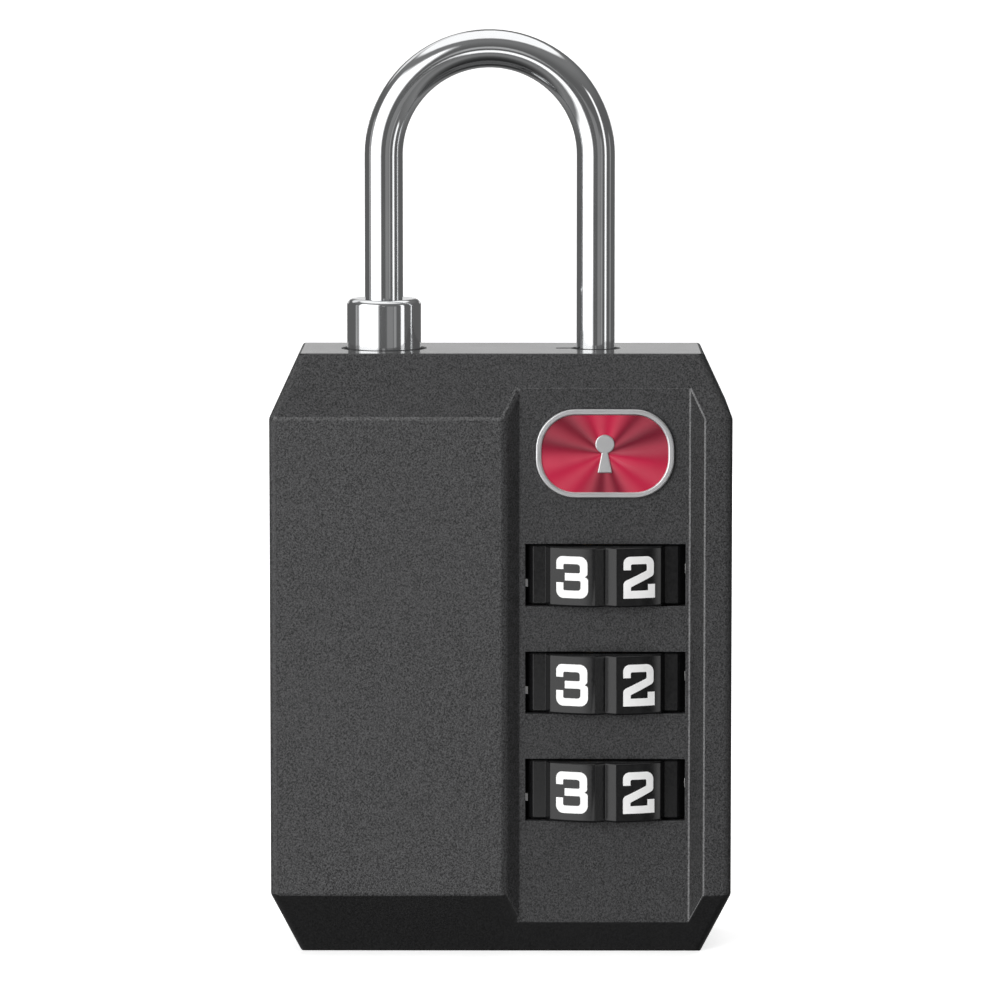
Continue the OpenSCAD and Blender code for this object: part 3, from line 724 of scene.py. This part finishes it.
def build_badge():
    """The badge's rounded rim, and a keyhole of bright metal that stands on the enamel."""
    rounded_node("emblem_bezel", "badge_rim", BADGE_ROUND, lambda edge: BADGE_ROUND)
    steps = 40
    head_r, foot_w, neck_w, height = 0.62 * MM, 0.95 * MM, 0.42 * MM, 2.5 * MM
    neck_angle = math.asin(neck_w / 2 / head_r)
    start, end = neck_angle - math.pi / 2, 1.5 * math.pi - neck_angle
    head_z = height / 2 - head_r
    outline = [
        (head_r * math.cos(start + (end - start) * i / steps),
         head_z + head_r * math.sin(start + (end - start) * i / steps))
        for i in range(steps + 1)
    ]
    outline += [(-foot_w / 2, -height / 2), (foot_w / 2, -height / 2)]
    back, front = BADGE_LOW.y + KEYHOLE_SINK, BADGE_LOW.y - KEYHOLE_PROUD
    bm = bmesh.new()
    face = bm.faces.new([
        bm.verts.new((BADGE_CENTRE.x + x, back, BADGE_CENTRE.z + z)) for x, z in outline
    ])
    made = bmesh.ops.extrude_face_region(bm, geom=[face])["geom"]
    for v in (item for item in made if isinstance(item, bmesh.types.BMVert)):
        v.co.y = front
    bmesh.ops.recalc_face_normals(bm, faces=bm.faces)
    mesh = bpy.data.meshes.new("badge_keyhole")
    bm.to_mesh(mesh)
    bm.free()
    piece = new_piece("badge_keyhole", mesh, "badge_chrome", "case")
    bevel = piece.modifiers.new("round", "BEVEL")
    bevel.width = KEYHOLE_ROUND
    bevel.segments = 2
    bevel.limit_method = "ANGLE"
    bevel.angle_limit = math.radians(30)


# ---- collar of the shackle ----

COLLAR_ROUND = 0.14 * MM
COLLAR_WALL = 0.5 * MM      # edges further than this inside the collar's skin stay sharp


def collar_round(edge):
    """Only the collar's outer rims are rounded, not its bore."""
    low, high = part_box("shackle_collar")
    axis, radius = (low + high) / 2, (high.x - low.x) / 2
    reach = min(math.hypot(v.co.x - axis.x, v.co.y - axis.y) for v in edge.verts)
    level = abs(edge.verts[0].co.z - edge.verts[1].co.z) < NEAR
    return COLLAR_ROUND if level and reach > radius - COLLAR_WALL else 0.0


# ---- studio ----

FLOOR_GLOW = 0.62
FLOOR_HALF = 3.0


def stage_material():
    """Pale matt floor; seen from below it is clear."""
    n = Nodes("floor_pale")
    grain = n.noise(180)
    tone = n.mix(n.spread(grain, 0, 1), (0.84, 0.84, 0.84), (0.88, 0.88, 0.88))
    n.set(Emission_Color=(1, 1, 1, 1), Emission_Strength=FLOOR_GLOW)
    n.finish(tone, n.spread(grain, 0.7, 0.8))
    clear = n.add("ShaderNodeBsdfTransparent")
    side = n.add("ShaderNodeNewGeometry")
    mix = n.add("ShaderNodeMixShader")
    n.link(side.outputs["Backfacing"], mix.inputs["Fac"])
    n.link(n.shader.outputs["BSDF"], mix.inputs[1])
    n.link(clear.outputs["BSDF"], mix.inputs[2])
    n.link(mix.outputs["Shader"], n.tree.nodes["Material Output"].inputs["Surface"])
    return n.material


def build_floor():
    bm = bmesh.new()
    bmesh.ops.create_grid(bm, x_segments=8, y_segments=8, size=FLOOR_HALF)
    mesh = bpy.data.meshes.new("floor")
    bm.to_mesh(mesh)
    bm.free()
    floor = bpy.data.objects.new("floor", mesh)
    bpy.context.scene.collection.objects.link(floor)
    mesh.materials.append(stage_material())
    floor.visible_glossy = False
    floor.visible_diffuse = False


# Cards of light round the lock. Degrees to the right of the front, degrees up, half of the width,
# half of the height, softness of the edge, brightness
CARDS = (
    (-50, 9, 33, 31, 14, 1.75),
    (-8, -15.5, 12, 6.5, 4, 1.3),
    (0, 7, 5, 6, 5, 0.45),
    (61.5, 4, 6, 24, 4, 1.28),
    (20, -8, 11, 16, 6, 0.24),
    (36, -8, 5, 12, 6, 0.32),
    (-94, -4, 5, 20, 6, 0.4),
    (-150, 34, 22, 9, 8, 0.9),
    (98, -12, 6, 20, 6, 0.3),
    (180, 6, 28, 5, 3, 0.77),
)
# A round card overhead, a little to the back: its direction, its half angle, softness, brightness
ROOF = ((0, 0.21, 0.98), 37, 8, 1.15)
# Light between the cards, by degrees of height
AMBIENT = [
    (-90, 0.02), (-62, 0.03), (-50, 0.08), (-38, 0.22), (-26, 0.18), (-10, 0.12), (20, 0.12),
    (45, 0.2), (90, 0.2),
]


def build_world():
    """Soft cards all round the lock, dark below it; the camera sees plain white."""
    world = bpy.data.worlds.new("studio")
    bpy.context.scene.world = world
    world.use_nodes = True
    tree = world.node_tree
    add, link = tree.nodes.new, tree.links.new

    def math_node(operation, *values):
        node = add("ShaderNodeMath")
        node.operation = operation
        for socket, value in zip(node.inputs, values):
            if isinstance(value, (int, float)):
                socket.default_value = value
            else:
                link(value, socket)
        return node.outputs["Value"]

    def inside(distance, half, soft):
        """1 within half of a card's middle, 0 outside, with a soft edge."""
        node = add("ShaderNodeMapRange")
        node.interpolation_type = "SMOOTHSTEP"
        node.inputs["From Min"].default_value = half - soft / 2
        node.inputs["From Max"].default_value = half + soft / 2
        node.inputs["To Min"].default_value = 1
        node.inputs["To Max"].default_value = 0
        link(distance, node.inputs["Value"])
        return node.outputs["Result"]

    coordinates = add("ShaderNodeTexCoord")
    parts = add("ShaderNodeSeparateXYZ")
    link(coordinates.outputs["Generated"], parts.inputs["Vector"])
    front = math_node("MULTIPLY", parts.outputs["Y"], -1.0)
    turn = math_node("DEGREES", math_node("ARCTAN2", parts.outputs["X"], front))
    height = math_node("DEGREES", math_node("ARCSINE", parts.outputs["Z"]))

    base = add("ShaderNodeValToRGB")
    while len(base.color_ramp.elements) < len(AMBIENT):
        base.color_ramp.elements.new(0.5)
    for element, (angle, grey) in zip(base.color_ramp.elements, AMBIENT):
        element.position = (angle + 90) / 180
        element.color = (grey, grey, grey, 1)
    link(math_node("DIVIDE", math_node("ADD", height, 90), 180), base.inputs["Fac"])
    light = base.outputs["Color"]
    for across, up, half_w, half_h, soft, power in CARDS:
        apart = math_node("SUBTRACT", turn, across)
        off = math_node("ABSOLUTE", math_node("WRAP", apart, 180, -180))
        above = math_node("ABSOLUTE", math_node("SUBTRACT", height, up))
        card = math_node("MULTIPLY", inside(off, half_w, soft), inside(above, half_h, soft))
        light = math_node("MAXIMUM", light, math_node("MULTIPLY", card, power))
    middle, half, soft, power = ROOF
    dot = add("ShaderNodeVectorMath")
    dot.operation = "DOT_PRODUCT"
    link(coordinates.outputs["Generated"], dot.inputs[0])
    dot.inputs[1].default_value = Vector(middle).normalized()
    angle = math_node("DEGREES", math_node("ARCCOSINE", dot.outputs["Value"]))
    roof = math_node("MULTIPLY", inside(angle, half, soft), power)
    light = math_node("MAXIMUM", light, roof)

    cards = tree.nodes["Background"]
    link(light, cards.inputs["Color"])
    white = add("ShaderNodeBackground")
    white.inputs["Color"].default_value = (1, 1, 1, 1)
    path = add("ShaderNodeLightPath")
    choose = add("ShaderNodeMixShader")
    link(path.outputs["Is Camera Ray"], choose.inputs["Fac"])
    link(cards.outputs["Background"], choose.inputs[1])
    link(white.outputs["Background"], choose.inputs[2])
    link(choose.outputs["Shader"], tree.nodes["World Output"].inputs["Surface"])
    world.cycles.sampling_method = "MANUAL"
    world.cycles.sample_map_resolution = 1024


# Place and size in metres, and power in watts, of the soft lights, which the chrome doesn't show
LIGHTS = {
    "key": ((-0.108, -0.195, 0.062), 0.1, 0.29),
    "back": ((0.12, 0.26, 0.12), 0.14, 0.36),
}
LIT_POINT = (0, 0, 0.02)


def build_lights():
    target = Vector(LIT_POINT)
    for name, (place, size, power) in LIGHTS.items():
        data = bpy.data.lights.new(name, "AREA")
        data.size = size
        data.energy = power
        light = bpy.data.objects.new(name, data)
        bpy.context.scene.collection.objects.link(light)
        light.location = place
        light.rotation_euler = (target - Vector(place)).to_track_quat("-Z", "Y").to_euler()
        light.visible_glossy = False
        light.visible_camera = False


# The camera's place and the point that it is aimed at, in metres, and its lens in mm
EYE = (0.0018, LOW.y - 0.38, 0.07055)
AIM = (-0.00005, LOW.y, 0.02997)
LENS = 212.6
SENSOR = 36
CLIP = (0.01, 20)


def build_camera():
    """A long lens in front of the lock and a little above it, aimed at its middle."""
    eye, aim = Vector(EYE), Vector(AIM)
    data = bpy.data.cameras.new("camera")
    data.sensor_width = SENSOR
    data.lens = LENS
    data.clip_start, data.clip_end = CLIP
    camera = bpy.data.objects.new("camera", data)
    bpy.context.scene.collection.objects.link(camera)
    camera.location = eye
    camera.rotation_euler = (aim - eye).to_track_quat("-Z", "Y").to_euler()
    bpy.context.scene.camera = camera


build_camera()
paint_cad_nodes()
build_case()
for dial in DIALS:
    build_dial(dial)
build_badge()
rounded_node("shackle_collar", "shackle_collar_rim", COLLAR_ROUND, collar_round)
build_floor()
build_world()
build_lights()
bpy.context.scene.view_settings.view_transform = "Standard"
